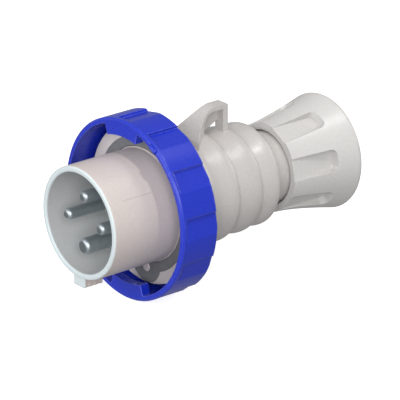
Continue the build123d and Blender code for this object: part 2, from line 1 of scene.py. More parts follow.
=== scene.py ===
"""Studio picture of an industrial pin and sleeve plug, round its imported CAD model.

The plug's axis is the Y axis: its pins point to -Y and the cable leaves at +Y. Y = 0 is the
gasket's sealing face and +Z is twelve o'clock. All lengths here are in metres.
"""

import logging
import math
from abc import ABC, abstractmethod
from dataclasses import dataclass, field, replace
from enum import Enum

import bpy
import numpy as np
from mathutils import Matrix, Vector


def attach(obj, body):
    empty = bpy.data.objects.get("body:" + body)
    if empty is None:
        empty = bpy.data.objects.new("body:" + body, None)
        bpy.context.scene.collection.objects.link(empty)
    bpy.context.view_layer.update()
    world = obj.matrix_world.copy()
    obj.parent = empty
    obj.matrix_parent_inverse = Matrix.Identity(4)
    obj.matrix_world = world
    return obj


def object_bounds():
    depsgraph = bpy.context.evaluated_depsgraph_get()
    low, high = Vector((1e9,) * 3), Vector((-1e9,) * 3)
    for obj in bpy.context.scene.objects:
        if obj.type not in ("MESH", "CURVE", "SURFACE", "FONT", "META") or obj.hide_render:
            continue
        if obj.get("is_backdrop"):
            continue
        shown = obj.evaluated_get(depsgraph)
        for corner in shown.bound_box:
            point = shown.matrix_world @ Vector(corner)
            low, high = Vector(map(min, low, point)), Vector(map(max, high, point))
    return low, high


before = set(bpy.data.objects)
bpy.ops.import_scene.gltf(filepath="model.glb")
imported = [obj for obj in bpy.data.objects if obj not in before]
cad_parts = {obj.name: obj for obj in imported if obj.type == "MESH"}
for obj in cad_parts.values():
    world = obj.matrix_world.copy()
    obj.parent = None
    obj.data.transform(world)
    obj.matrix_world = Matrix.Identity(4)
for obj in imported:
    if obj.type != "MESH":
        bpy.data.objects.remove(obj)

LOG = logging.getLogger("plug")
MM = 0.001
EDGE_STARTS = 0.985
EDGE_FULL = 0.78

Colour = tuple[float, float, float]
Triple = tuple[float, float, float]


class Body(Enum):
    """The rigid bodies that the added pieces ride on."""

    PLUG = "plug_body"
    RING = "ring"


class Slot(Enum):
    """The record's material slots."""

    HOUSING = "housing_grey"
    RING = "ring_blue"
    GASKET = "gasket_rubber"
    SEAL = "seal_rubber"
    CARRIER = "carrier_plastic"
    PIN = "pin_metal"
    SCREW = "screw_steel"


class Blend(Enum):
    """How two colours are put together."""

    MIX = "MIX"
    MULTIPLY = "MULTIPLY"


class NodeBoard:
    """A material's node tree, with one method for each kind of node that the finishes use."""

    def __init__(self, name: str) -> None:
        """Starts a material with an empty tree that holds only its shader and its output.

        Args:
            name: The material's name.
        """
        self.material = bpy.data.materials.new(name)
        self.material.use_nodes = True
        self.tree = self.material.node_tree
        self.tree.nodes.clear()
        self.shader = self.tree.nodes.new("ShaderNodeBsdfPrincipled")
        output = self.tree.nodes.new("ShaderNodeOutputMaterial")
        self.tree.links.new(self.shader.outputs["BSDF"], output.inputs["Surface"])

    def node(self, kind: str, **values: object) -> bpy.types.Node:
        """Adds a node and sets its plain properties.

        Args:
            kind: The node's Blender type.
            values: Properties of the node by name.

        Returns:
            The new node.
        """
        made = self.tree.nodes.new(kind)
        for name, value in values.items():
            setattr(made, name, value)
        return made

    def feed(self, socket: bpy.types.NodeSocket, value: object) -> None:
        """Links an output to a socket, or sets the socket to a plain value.

        Args:
            socket: The input to fill.
            value: An output socket, a number, or a colour of three numbers.
        """
        if isinstance(value, bpy.types.NodeSocket):
            self.tree.links.new(value, socket)
        elif isinstance(value, tuple) and len(socket.default_value) == 4:
            socket.default_value = (*value, 1.0)
        else:
            socket.default_value = value

    def place(self) -> bpy.types.NodeSocket:
        """Place on the object in metres."""
        return self.node("ShaderNodeTexCoord").outputs["Object"]

    def stretched(self, place: bpy.types.NodeSocket, scale: Triple) -> bpy.types.NodeSocket:
        """The place after each of its axes is scaled, which stretches a pattern.

        Args:
            place: The place to scale.
            scale: Factor for each axis.

        Returns:
            The scaled place.
        """
        mapping = self.node("ShaderNodeMapping")
        self.feed(mapping.inputs["Vector"], place)
        mapping.inputs["Scale"].default_value = scale
        return mapping.outputs["Vector"]

    def noise(
        self, place: bpy.types.NodeSocket, per_metre: float, detail: float = 2.0, rough: float = 0.5
    ) -> bpy.types.NodeSocket:
        """Soft random pattern between 0 and 1.

        Args:
            place: Where the pattern is read.
            per_metre: How many blotches fit in a metre.
            detail: Octaves of finer pattern on top.
            rough: How strong those octaves are.

        Returns:
            The pattern's value.
        """
        noise = self.node("ShaderNodeTexNoise")
        self.feed(noise.inputs["Vector"], place)
        noise.inputs["Scale"].default_value = per_metre
        noise.inputs["Detail"].default_value = detail
        noise.inputs["Roughness"].default_value = rough
        return noise.outputs["Fac"]

    def cells(self, place: bpy.types.NodeSocket, per_metre: float) -> bpy.types.NodeSocket:
        """Distance to the nearest of many random points, as the pits of a spark-eroded mould.

        Args:
            place: Where the pattern is read.
            per_metre: How many pits fit in a metre.

        Returns:
            The distance, 0 in the middle of a pit.
        """
        cells = self.node("ShaderNodeTexVoronoi", feature="SMOOTH_F1")
        self.feed(cells.inputs["Vector"], place)
        cells.inputs["Scale"].default_value = per_metre
        return cells.outputs["Distance"]

    def ranged(
        self, value: bpy.types.NodeSocket, low: float, high: float, to_low: float, to_high: float
    ) -> bpy.types.NodeSocket:
        """Carries a value from one range to another and stops at its ends.

        Args:
            value: The value to carry over.
            low: Start of the range it comes from.
            high: End of that range.
            to_low: What the start becomes.
            to_high: What the end becomes.

        Returns:
            The new value.
        """
        ranged = self.node("ShaderNodeMapRange", clamp=True)
        self.feed(ranged.inputs["Value"], value)
        ranged.inputs["From Min"].default_value = low
        ranged.inputs["From Max"].default_value = high
        ranged.inputs["To Min"].default_value = to_low
        ranged.inputs["To Max"].default_value = to_high
        return ranged.outputs["Result"]

    def maths(self, operation: str, first: object, second: object = 0.0) -> bpy.types.NodeSocket:
        """One sum with two values.

        Args:
            operation: Blender's name of the sum, such as MULTIPLY.
            first: A number or a value.
            second: A number or a value.

        Returns:
            The result.
        """
        sums = self.node("ShaderNodeMath", operation=operation)
        self.feed(sums.inputs[0], first)
        self.feed(sums.inputs[1], second)
        return sums.outputs["Value"]

    def product(self, first: object, *others: object) -> bpy.types.NodeSocket:
        """Several values multiplied together.

        Args:
            first: A number or a value.
            others: More of them.

        Returns:
            The product.
        """
        for other in others:
            first = self.maths("MULTIPLY", first, other)
        return first

    def split(self, vector: bpy.types.NodeSocket) -> bpy.types.NodeOutputs:
        """Takes a vector apart.

        Args:
            vector: A place or a direction.

        Returns:
            Its three parts, under the names X, Y and Z.
        """
        parts = self.node("ShaderNodeSeparateXYZ")
        self.feed(parts.inputs["Vector"], vector)
        return parts.outputs

    def off_axis(self, middle_x: float = 0.0, middle_z: float = 0.0) -> bpy.types.NodeSocket:
        """Distance from a line along Y, in metres: the root of the squares of x and z added.

        Args:
            middle_x: Where the line is along X. The plug's axis is at 0, 0.
            middle_z: Where it is along Z.

        Returns:
            The distance.
        """
        place = self.split(self.place())
        across = self.maths("SUBTRACT", place["X"], middle_x)
        up = self.maths("SUBTRACT", place["Z"], middle_z)
        squares = self.product(across, across), self.product(up, up)
        return self.maths("SQRT", self.maths("ADD", *squares))

    def frontness(self) -> bpy.types.NodeSocket:
        """How far the surface faces the plug's front, from 1 down to -1 where it faces the rear."""
        normal = self.split(self.node("ShaderNodeTexCoord").outputs["Normal"])
        return self.maths("MULTIPLY", normal["Y"], -1.0)

    def mixed(
        self, share: object, first: object, second: object, blend: Blend = Blend.MIX
    ) -> bpy.types.NodeSocket:
        """Puts two colours together.

        Args:
            share: How much of the second colour there is, from 0 to 1.
            first: A colour.
            second: A colour.
            blend: How they are put together.

        Returns:
            The new colour.
        """
        mix = self.node("ShaderNodeMix", data_type="RGBA", blend_type=blend.value)
        self.feed(mix.inputs["Factor"], share)
        self.feed(mix.inputs["A"], first)
        self.feed(mix.inputs["B"], second)
        return mix.outputs["Result"]

    def softened(self, radius: float) -> tuple[bpy.types.NodeSocket, bpy.types.NodeSocket]:
        """Rounds the shading of hard edges, as a mould's radii do.

        The share of edge is how far the rounded normal has turned from the true one, which is
        read as the cosine between them: from EDGE_STARTS down to EDGE_FULL.

        Args:
            radius: The edges' radius.

        Returns:
            The rounded normal, and a share that is 1 on an edge and 0 away from it.
        """
        bevel = self.node("ShaderNodeBevel", samples=6)
        bevel.inputs["Radius"].default_value = radius
        geometry = self.node("ShaderNodeNewGeometry")
        dot = self.node("ShaderNodeVectorMath", operation="DOT_PRODUCT")
        self.feed(dot.inputs[0], bevel.outputs["Normal"])
        self.feed(dot.inputs[1], geometry.outputs["Normal"])
        edge = self.ranged(dot.outputs["Value"], EDGE_STARTS, EDGE_FULL, 0.0, 1.0)
        return bevel.outputs["Normal"], edge

    def bumped(
        self, height: bpy.types.NodeSocket, depth: float, strength: float, normal: bpy.types.NodeSocket
    ) -> bpy.types.NodeSocket:
        """Turns a height into a surface relief.

        Args:
            height: The height, 0 to 1.
            depth: How high 1 stands.
            strength: Share of the relief that shows.
            normal: The normal under the relief.

        Returns:
            The normal with the relief.
        """
        bump = self.node("ShaderNodeBump")
        bump.inputs["Strength"].default_value = strength
        bump.inputs["Distance"].default_value = depth
        self.feed(bump.inputs["Height"], height)
        self.feed(bump.inputs["Normal"], normal)
        return bump.outputs["Normal"]

    def finish(self, colour: object, roughness: object, normal: object) -> bpy.types.Material:
        """Feeds the shader.

        Args:
            colour: Base colour.
            roughness: Roughness.
            normal: Normal.

        Returns:
            The finished material.
        """
        self.feed(self.shader.inputs["Base Color"], colour)
        self.feed(self.shader.inputs["Roughness"], roughness)
        self.feed(self.shader.inputs["Normal"], normal)
        return self.material


@dataclass(frozen=True)
class Finish(ABC):
    """What all finishes share: a name, and the slot of the record that they stand for."""

    name: str
    slot: Slot

    @abstractmethod
    def material(self) -> bpy.types.Material:
        """Makes the material of this finish."""


@dataclass(frozen=True)
class PartingLine:
    """The fine line that a mould's two halves leave on both sides of a round shell.

    Attributes:
        clock: Angle of the line round Y, from +Z towards +X, in degrees.
        front: Where it starts along Y.
        rear: Where it ends along Y.
        width: Distance from its middle at which it has faded out.
        bore: Radius below which the shell shows no line.
        shade: What its colour is multiplied by.
        core: Share of the width that has the full shade.
        front_fade: Over what length it fades in at the front.
        rear_fade: Over what length it fades out at the rear.
        bore_fade: Over what radius it fades in outside the bore.
    """

    clock: float
    front: float
    rear: float
    width: float
    bore: float
    shade: float
    core: float = 0.4
    front_fade: float = 2.0 * MM
    rear_fade: float = 1.0 * MM
    bore_fade: float = 0.2 * MM


@dataclass(frozen=True)
class PaintedCoolLight:
    """Painted cool light on the collar: a bluer painted tint inside it and much brighter, bluer
    painted light on its front rim.

    Attributes:
        bore: Radius up to which the colour counts as inside.
        rim_rear: Where the rim's colour ends along Y.
        painted_inside_tint: What the colour inside is multiplied by, as painted cool light.
        painted_rim_tint: What the rim's colour is multiplied by, as painted bright cool light.
        fade: Over what distance each tint fades in.
    """

    bore: float
    rim_rear: float
    painted_inside_tint: Colour
    painted_rim_tint: Colour
    fade: float = 0.2 * MM


@dataclass(frozen=True)
class MouldedPlastic(Finish):
    """Moulded plastic with the fine grain of a spark-eroded mould, and rubbed edges that carry a
    painted highlight.
    """

    colour: Colour
    flow_colour: Colour
    # Colour of the painted highlight on the edges.
    painted_highlight_colour: Colour
    gloss: float
    grain_per_metre: float = 2600.0
    grain_depth: float = 0.02 * MM
    edge_radius: float = 0.45 * MM
    grain_share: float = 0.6
    grain_mix: tuple[float, float] = (0.7, 0.5)
    flow_per_metre: float = 34.0
    flow_stretch: Triple = (1.0, 0.35, 1.0)
    speck_per_metre: float = 900.0
    speck_shades: tuple[float, float] = (0.965, 1.02)
    rub_per_metre: float = 160.0
    rub_and_highlight_shares: tuple[float, float] = (0.35, 0.85)
    rub_gloss: float = 0.08
    uneven_gloss: tuple[float, float] = (-0.01, 0.015)
    refraction: float = 1.52
    parting: PartingLine | None = None
    # Painted cool light inside a collar and on its rim, if any.
    painted_cool_light: PaintedCoolLight | None = None

    def material(self) -> bpy.types.Material:
        """Makes the plastic: slow flow marks, fine specks, grain, and smoother edges with a painted
        highlight.

        Returns:
            The material.
        """
        board = NodeBoard(self.name)
        place = board.place()
        normal, edge = board.softened(self.edge_radius)
        flow = board.noise(board.stretched(place, self.flow_stretch), self.flow_per_metre, 3.0)
        flow_share = board.ranged(flow, 0.38, 0.66, 0.0, 1.0)
        body = board.mixed(flow_share, self.colour, self.flow_colour)
        speck = board.noise(place, self.speck_per_metre, 1.0)
        speck_shade = board.ranged(speck, 0.30, 0.70, *self.speck_shades)
        speckled = board.mixed(1.0, body, speck_shade, Blend.MULTIPLY)
        if self.parting:
            shade = self.parting_shade(board, self.parting)
            speckled = board.mixed(1.0, speckled, shade, Blend.MULTIPLY)
        rub = board.noise(place, self.rub_per_metre, 3.0)
        # Painted highlight: edges turn to a lighter colour where the rounded normal bends, in patches
        # from the rub noise; the same share makes them smoother, as rubbed.
        edge_share = board.maths("MULTIPLY", edge, board.ranged(rub, 0.3, 0.7, *self.rub_and_highlight_shares))
        colour = board.mixed(edge_share, speckled, self.painted_highlight_colour)
        pits = board.cells(place, self.grain_per_metre)
        fine = board.noise(place, self.grain_per_metre * 1.7, 2.0)
        pit_share, fine_share = self.grain_mix
        height = board.maths("ADD", board.product(pits, pit_share), board.product(fine, fine_share))
        relief = board.bumped(height, self.grain_depth, self.grain_share, normal)
        worn = board.maths("MULTIPLY", edge_share, -self.rub_gloss)
        smooth, rough = (self.gloss + change for change in self.uneven_gloss)
        roughness = board.maths("ADD", board.ranged(rub, 0.25, 0.75, smooth, rough), worn)
        board.shader.inputs["IOR"].default_value = self.refraction
        # Painted cool light inside the collar and on its front rim.
        if self.painted_cool_light:
            colour = self.painted_cool_light_colour(board, colour, self.painted_cool_light)
        return board.finish(colour, roughness, relief)

    def painted_cool_light_colour(
        self, board: NodeBoard, colour: bpy.types.NodeSocket, painted_cool_light: PaintedCoolLight
    ) -> bpy.types.NodeSocket:
        """The colour with painted cool light: a bluer painted tint inside the collar and brighter,
        bluer painted light on its rim.

        Args:
            board: The material's board.
            colour: The colour so far.
            painted_cool_light: The painted light's tints and where they end.

        Returns:
            The tinted colour.
        """
        along = board.split(board.place())["Y"]
        inside = board.ranged(board.off_axis(), painted_cool_light.bore - painted_cool_light.fade, painted_cool_light.bore, 1.0, 0.0)
        at_rim = board.ranged(along, painted_cool_light.rim_rear - painted_cool_light.fade, painted_cool_light.rim_rear, 1.0, 0.0)
        cool_lit_inside = board.mixed(inside, colour, board.mixed(1.0, colour, painted_cool_light.painted_inside_tint, Blend.MULTIPLY))
        return board.mixed(at_rim, cool_lit_inside, board.mixed(1.0, colour, painted_cool_light.painted_rim_tint, Blend.MULTIPLY))

    def parting_shade(self, board: NodeBoard, line: PartingLine) -> bpy.types.NodeSocket:
        """Shade of the parting line, 1 away from it.

        The line is where the plane through Y at its clock angle cuts the shell, so the distance
        to it is the size of x cos(clock) - z sin(clock).

        Args:
            board: The material's board.
            line: The parting line.

        Returns:
            The factor for the colour.
        """
        place = board.split(board.place())
        angle = math.radians(line.clock)
        across = board.maths("MULTIPLY", place["X"], math.cos(angle))
        up = board.maths("MULTIPLY", place["Z"], math.sin(angle))
        away = board.maths("ABSOLUTE", board.maths("SUBTRACT", across, up))
        near = board.ranged(away, line.core * line.width, line.width, 1.0, 0.0)
        after = board.ranged(place["Y"], line.front, line.front + line.front_fade, 0.0, 1.0)
        before = board.ranged(place["Y"], line.rear - line.rear_fade, line.rear, 1.0, 0.0)
        outside = board.ranged(board.off_axis(), line.bore, line.bore + line.bore_fade, 0.0, 1.0)
        share = board.product(near, after, before, outside)
        return board.ranged(share, 0.0, 1.0, 1.0, line.shade)


@dataclass(frozen=True)
class SoftRubber(Finish):
    """Matt rubber with faint dust and a fine skin."""

    colour: Colour
    dust_colour: Colour
    gloss: float
    edge_radius: float = 0.25 * MM
    dust_per_metre: float = 240.0
    dust_most: float = 0.55
    edge_dust: float = 0.3
    skin_per_metre: float = 3600.0
    skin_depth: float = 0.02 * MM
    sheen: float = 0.15

    def material(self) -> bpy.types.Material:
        """Makes the rubber's material."""
        board = NodeBoard(self.name)
        return board.finish(*self.surface(board))

    def surface(self, board: NodeBoard) -> tuple[bpy.types.NodeSocket, ...]:
        """The rubber's surface: dust in blotches, a fine skin, and a soft sheen.

        Args:
            board: The material's board.

        Returns:
            Its colour, roughness and relief.
        """
        place = board.place()
        normal, edge = board.softened(self.edge_radius)
        dust = board.noise(place, self.dust_per_metre, 4.0, 0.62)
        dust_share = board.ranged(dust, 0.42, 0.75, 0.0, self.dust_most)
        dusty = board.mixed(dust_share, self.colour, self.dust_colour)
        edge_share = board.maths("MULTIPLY", edge, self.edge_dust)
        colour = board.mixed(edge_share, dusty, self.dust_colour)
        skin = board.noise(place, self.skin_per_metre, 2.0)
        relief = board.bumped(skin, self.skin_depth, 0.5, normal)
        roughness = board.ranged(dust, 0.3, 0.7, self.gloss - 0.05, self.gloss + 0.12)
        board.shader.inputs["Sheen Weight"].default_value = self.sheen
        board.shader.inputs["Sheen Roughness"].default_value = 0.4
        return colour, roughness, relief


@dataclass(frozen=True)
class LobedRubber(SoftRubber):
    """A narrow rubber ring with one round lobe, in a light seat that fills the rest of the piece.

    Attributes:
        seat_colour: Colour of the seat round the rubber.
        radius: The rubber ring's outer radius.
        lobe_clock: Angle of the lobe's middle round Y, from +Z towards +X, in degrees.
        lobe_circle: Distance of the lobe's middle from the axis.
        lobe_radius: The lobe's own radius.
        step: How far the rubber stands out of its seat, as relief.
        border: Half the width of the change from rubber to seat.
    """

    seat_colour: Colour = (0.62, 0.57, 0.54)
    radius: float = 29.3 * MM
    lobe_clock: float = 176.0
    lobe_circle: float = 24.8 * MM
    lobe_radius: float = 9.6 * MM
    step: float = 0.5 * MM
    border: float = 0.15 * MM

    def surface(self, board: NodeBoard) -> tuple[bpy.types.NodeSocket, ...]:
        """The rubber where its outline is, and the seat elsewhere.

        The outline is the union of the ring's circle round the axis and the lobe's circle round
        its own middle.

        Args:
            board: The material's board.

        Returns:
            Its colour, roughness and relief.
        """
        colour, roughness, relief = super().surface(board)
        angle = math.radians(self.lobe_clock)
        middle = (self.lobe_circle * math.sin(angle), self.lobe_circle * math.cos(angle))
        ring = self.within(board, board.off_axis(), self.radius)
        lobe = self.within(board, board.off_axis(*middle), self.lobe_radius)
        rubber = board.maths("MAXIMUM", ring, lobe)
        stepped = board.bumped(rubber, self.step, 1.0, relief)
        return board.mixed(rubber, self.seat_colour, colour), roughness, stepped

    def within(
        self, board: NodeBoard, distance: bpy.types.NodeSocket, radius: float
    ) -> bpy.types.NodeSocket:
        """1 inside a circle and 0 outside it, with a narrow border between.

        Args:
            board: The material's board.
            distance: Distance from the circle's middle.
            radius: The circle's radius.

        Returns:
            The share of rubber.
        """
        return board.ranged(distance, radius - self.border, radius + self.border, 1.0, 0.0)


@dataclass(frozen=True)
class PlatedMetal(Finish):
    """Plated, turned metal: rings from the lathe round the plug's axis, and small blotches."""

    colour: Colour
    tarnish_colour: Colour
    gloss: float
    lathe_per_metre: float = 5200.0
    edge_radius: float = 0.2 * MM
    # Painted shade: what the colour of faces that look to the front is multiplied by.
    painted_front_shade: float = 1.0
    lathe_stretch: Triple = (0.02, 1.0, 0.02)
    lathe_depth: float = 0.006 * MM
    cloud_per_metre: float = 420.0
    # Colour of the painted highlight on the edges.
    painted_highlight_colour: Colour = (0.86, 0.86, 0.85)
    edge_share: float = 0.4

    def material(self) -> bpy.types.Material:
        """Makes the metal: lathe rings along Y, cloudy plating, a painted highlight on the edges and
        painted shade on faces that look to the front.

        Returns:
            The material.
        """
        board = NodeBoard(self.name)
        place = board.place()
        normal, edge = board.softened(self.edge_radius)
        cloud = board.noise(place, self.cloud_per_metre, 3.0)
        tarnish = board.ranged(cloud, 0.45, 0.75, 0.0, 0.5)
        plated = board.mixed(tarnish, self.colour, self.tarnish_colour)
        # Painted shade on faces that look to the front, then a painted highlight on the edges.
        ends = board.ranged(board.frontness(), 0.80, 0.97, 1.0, self.painted_front_shade)
        shaded = board.mixed(1.0, plated, ends, Blend.MULTIPLY)
        bright = board.maths("MULTIPLY", edge, self.edge_share)
        colour = board.mixed(bright, shaded, self.painted_highlight_colour)
        rings = board.noise(board.stretched(place, self.lathe_stretch), self.lathe_per_metre, 2.0)
        relief = board.bumped(rings, self.lathe_depth, 0.7, normal)
        roughness = board.ranged(cloud, 0.3, 0.7, self.gloss - 0.04, self.gloss + 0.08)
        board.shader.inputs["Metallic"].default_value = 1.0
        return board.finish(colour, roughness, relief)


# In each plastic below, the edge colour is the colour of a painted highlight on its edges.
GRIP_GREY = MouldedPlastic(
    name="grip_grey",
    slot=Slot.HOUSING,
    colour=(0.555, 0.530, 0.512),
    flow_colour=(0.570, 0.545, 0.527),
    painted_highlight_colour=(0.66, 0.645, 0.63),
    gloss=0.31,
    grain_depth=0.006 * MM,
)
COLLAR_GREY = replace(
    GRIP_GREY,
    name="collar_grey",
    colour=(0.640, 0.570, 0.540),
    flow_colour=(0.655, 0.590, 0.558),
    painted_highlight_colour=(0.70, 0.65, 0.62),
    gloss=0.42,
    # Painted cool light: the collar's inside is painted bluer and its front rim much brighter and
    # bluer.
    painted_cool_light=PaintedCoolLight(
        bore=23.2 * MM,
        rim_rear=-33.6 * MM,
        painted_inside_tint=(0.88, 1.00, 1.06),
        painted_rim_tint=(1.0, 1.24, 1.35),
    ),
    parting=PartingLine(
        clock=54.5, front=-27.3 * MM, rear=-11.0 * MM, width=0.26 * MM, bore=23.6 * MM, shade=0.80
    ),
)
NUT_GREY = replace(
    GRIP_GREY,
    name="nut_grey",
    colour=(0.625, 0.615, 0.598),
    flow_colour=(0.640, 0.630, 0.613),
    painted_highlight_colour=(0.74, 0.735, 0.72),
    gloss=0.30,
    edge_radius=0.6 * MM,
)
RING_BLUE = MouldedPlastic(
    name="ring_blue",
    slot=Slot.RING,
    colour=(0.011, 0.031, 0.50),
    flow_colour=(0.012, 0.034, 0.53),
    painted_highlight_colour=(0.17, 0.21, 0.86),
    gloss=0.27,
    edge_radius=0.8 * MM,
    grain_depth=0.003 * MM,
)
CARRIER = MouldedPlastic(
    name="carrier_plastic",
    slot=Slot.CARRIER,
    colour=(0.36, 0.385, 0.385),
    flow_colour=(0.375, 0.40, 0.40),
    painted_highlight_colour=(0.45, 0.46, 0.46),
    gloss=0.45,
)
GASKET = LobedRubber(
    name="gasket_rubber",
    slot=Slot.GASKET,
    colour=(0.165, 0.168, 0.172),
    dust_colour=(0.23, 0.23, 0.23),
    gloss=0.5,
)
SEAL = SoftRubber(
    name="seal_rubber",
    slot=Slot.SEAL,
    colour=(0.018, 0.018, 0.019),
    dust_colour=(0.09, 0.09, 0.09),
    gloss=0.5,
)
NICKEL = PlatedMetal(
    name="pin_metal",
    slot=Slot.PIN,
    colour=(0.60, 0.66, 0.70),
    tarnish_colour=(0.48, 0.52, 0.55),
    gloss=0.46,
    # Painted shade on the pins' front faces, which are darkened to less than half.
    painted_front_shade=0.45,
)
ZINC = PlatedMetal(
    name="screw_steel",
    slot=Slot.SCREW,
    colour=(0.56, 0.57, 0.58),
    tarnish_colour=(0.40, 0.41, 0.43),
    gloss=0.34,
)


def around_axis(radius: np.ndarray, along: np.ndarray, angle: np.ndarray) -> np.ndarray:
    """Points given round the plug's axis: x = r sin(angle), z = r cos(angle).

    Args:
        radius: Distance from the Y axis.
        along: Place along Y.
        angle: Angle round Y from +Z towards +X, in radians.

    Returns:
        The points, with one more axis for x, y and z.
    """
    return np.stack([radius * np.sin(angle), along, radius * np.cos(angle)], -1)


class Workshop:
    """Keeps the made materials, dresses CAD nodes and turns grids of points into pieces."""

    def __init__(self, nodes: dict[str, bpy.types.Object]) -> None:
        """Takes the CAD nodes.

        Args:
            nodes: The frame's objects by name.
        """
        self.nodes = nodes
        self.materials: dict[Finish, bpy.types.Material] = {}

    def material(self, finish: Finish) -> bpy.types.Material:
        """The finish's material, made once.

        Args:
            finish: The finish.

        Returns:
            The material.
        """
        if finish not in self.materials:
            self.materials[finish] = finish.material()
        return self.materials[finish]

    def dress(self, finish: Finish, *names: str) -> None:
        """Gives a finish to CAD nodes.

        Args:
            finish: The finish.
            names: The nodes' names.
        """
        for name in names:
            mesh = self.nodes[name].data
            mesh.materials.clear()
            mesh.materials.append(self.material(finish))
            LOG.info("dressed %s in %s", name, finish.name)

    def grid_piece(self, name: str, points: np.ndarray, body: Body, finish: Finish) -> None:
        """Makes a smooth piece from sections, each a closed outline.

        Square faces join each point to the next, round the section and from section to section.
        One face closes each end. The faces look outward where a section's corners turn clockwise
        for someone who looks along the piece.

        Args:
            name: The piece's name.
            points: Array of shape (sections, corners, 3).
            body: The body that the piece rides on.
            finish: Its finish.
        """
        sections, corners, _ = points.shape
        i, j = np.meshgrid(np.arange(sections - 1), np.arange(corners), indexing="ij")
        next_j = (j + 1) % corners
        steps = ((i, j), (i, next_j), (i + 1, next_j), (i + 1, j))
        faces = np.stack([row * corners + column for row, column in steps], -1).reshape(-1, 4).tolist()
        faces.append(list(range(corners))[::-1])
        faces.append(list(range((sections - 1) * corners, sections * corners)))
        mesh = bpy.data.meshes.new(name)
        mesh.from_pydata(points.reshape(-1, 3).tolist(), [], faces)
        mesh.shade_smooth()
        mesh.update()
        mesh.materials.append(self.material(finish))
        piece = bpy.data.objects.new(name, mesh)
        bpy.context.scene.collection.objects.link(piece)
        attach(piece, body.value)
        LOG.info("made %s: %d faces", name, len(faces))


@dataclass
class FrontShell:
    """The collar with its flange, the flat gasket with its pip, and the O-ring behind them."""

    workshop: Workshop
    pip_clock: float = GASKET.lobe_clock
    pip_circle: float = 27.6 * MM
    pip_radius: float = 2.3 * MM
    pip_foot: float = 0.3 * MM
    pip_front: float = -0.25 * MM
    pip_shoulder: float = 0.2 * MM
    pip_crown: float = 0.08 * MM
    pip_profile: tuple[float, ...] = (1.0, 1.0, 0.92, 0.6)
    pip_corners: int = 24

    def build(self) -> None:
        """Dresses the housing, the gasket and the O-ring, and makes the gasket's pip."""
        self.workshop.dress(COLLAR_GREY, "front_housing")
        self.workshop.dress(SEAL, "housing_seal")
        self.workshop.dress(GASKET, "face_gasket")
        self.workshop.grid_piece("gasket_pip", self.pip_points(), Body.PLUG, COLLAR_GREY)

    def pip_points(self) -> np.ndarray:
        """Points of the round pip that stands out of the gasket's lobe.

        Returns:
            Array of shape (4, corners, 3), from its foot to its rounded front.
        """
        turn = np.linspace(0.0, 2.0 * math.pi, self.pip_corners, endpoint=False)
        radius = np.array(self.pip_profile)[:, None] * self.pip_radius
        steps = (self.pip_shoulder, 0.0, -self.pip_crown)
        along = np.array([self.pip_foot, *(self.pip_front + step for step in steps)])
        angle = math.radians(self.pip_clock)
        across = self.pip_circle * math.sin(angle) + radius * np.cos(turn)
        up = self.pip_circle * math.cos(angle) + radius * np.sin(turn)
        return np.stack([across, np.broadcast_to(along[:, None], across.shape), up], -1)


@dataclass
class ContactSet:
    """The carrier with its cover, the four pins and all screws."""

    workshop: Workshop
    poles: tuple[str, ...] = ("l1", "l2", "l3", "earth")

    def build(self) -> None:
        """Dresses the carrier, the pins and the screws."""
        self.workshop.dress(CARRIER, "contact_carrier", "carrier_cover")
        self.workshop.dress(NICKEL, *(f"pin_{pole}" for pole in self.poles))
        self.workshop.dress(ZINC, *(f"terminal_screw_{pole}" for pole in self.poles))
        self.workshop.dress(ZINC, "carrier_screws", "cover_screw")


@dataclass
class BayonetRing:
    """The blue ring that locks the plug, with the small mark on its front lip."""

    workshop: Workshop
    front: float = -10.4 * MM
    mark_clock: float = 31.0
    mark_span: float = 6.2
    mark_inner: float = 37.6 * MM
    mark_outer: float = 39.2 * MM
    mark_height: float = 1.1 * MM
    mark_round: float = 0.3 * MM
    mark_sunk: float = 0.5 * MM
    mark_end_rise: float = 0.75

    def build(self) -> None:
        """Dresses the ring and makes its mark."""
        self.workshop.dress(RING_BLUE, "locking_ring")
        self.workshop.grid_piece("ring_mark", self.mark_points(), Body.RING, RING_BLUE)

    def mark_points(self) -> np.ndarray:
        """Points of the mark: a low block with rounded front edges, bent round Y with the lip.

        Each section has its two feet sunk in the lip and four corners in front of it, of which
        the outer two lie back by the rounding. The first and last sections are lower.

        Returns:
            Array of shape (9, 6, 3).
        """
        share = np.array([0.0, 0.06, 0.2, 0.35, 0.5, 0.65, 0.8, 0.94, 1.0])
        clock = np.radians(self.mark_clock + (share - 0.5) * self.mark_span)
        is_end = (share == 0.0) | (share == 1.0)
        rise = self.mark_height * np.where(is_end, self.mark_end_rise, 1.0)[:, None]
        foot = self.front + self.mark_sunk
        soft = self.mark_round
        radius = np.array(
            [self.mark_inner, self.mark_inner, self.mark_inner + soft]
            + [self.mark_outer - soft, self.mark_outer, self.mark_outer]
        )
        lies_back = np.array([0.0, soft, 0.0, 0.0, soft, 0.0])
        top = self.front - rise + lies_back[None, :]
        is_foot = np.array([True, False, False, False, False, True])
        along = np.where(is_foot[None, :], foot, top)
        return around_axis(np.broadcast_to(radius, along.shape), along, clock[:, None])[:, ::-1]


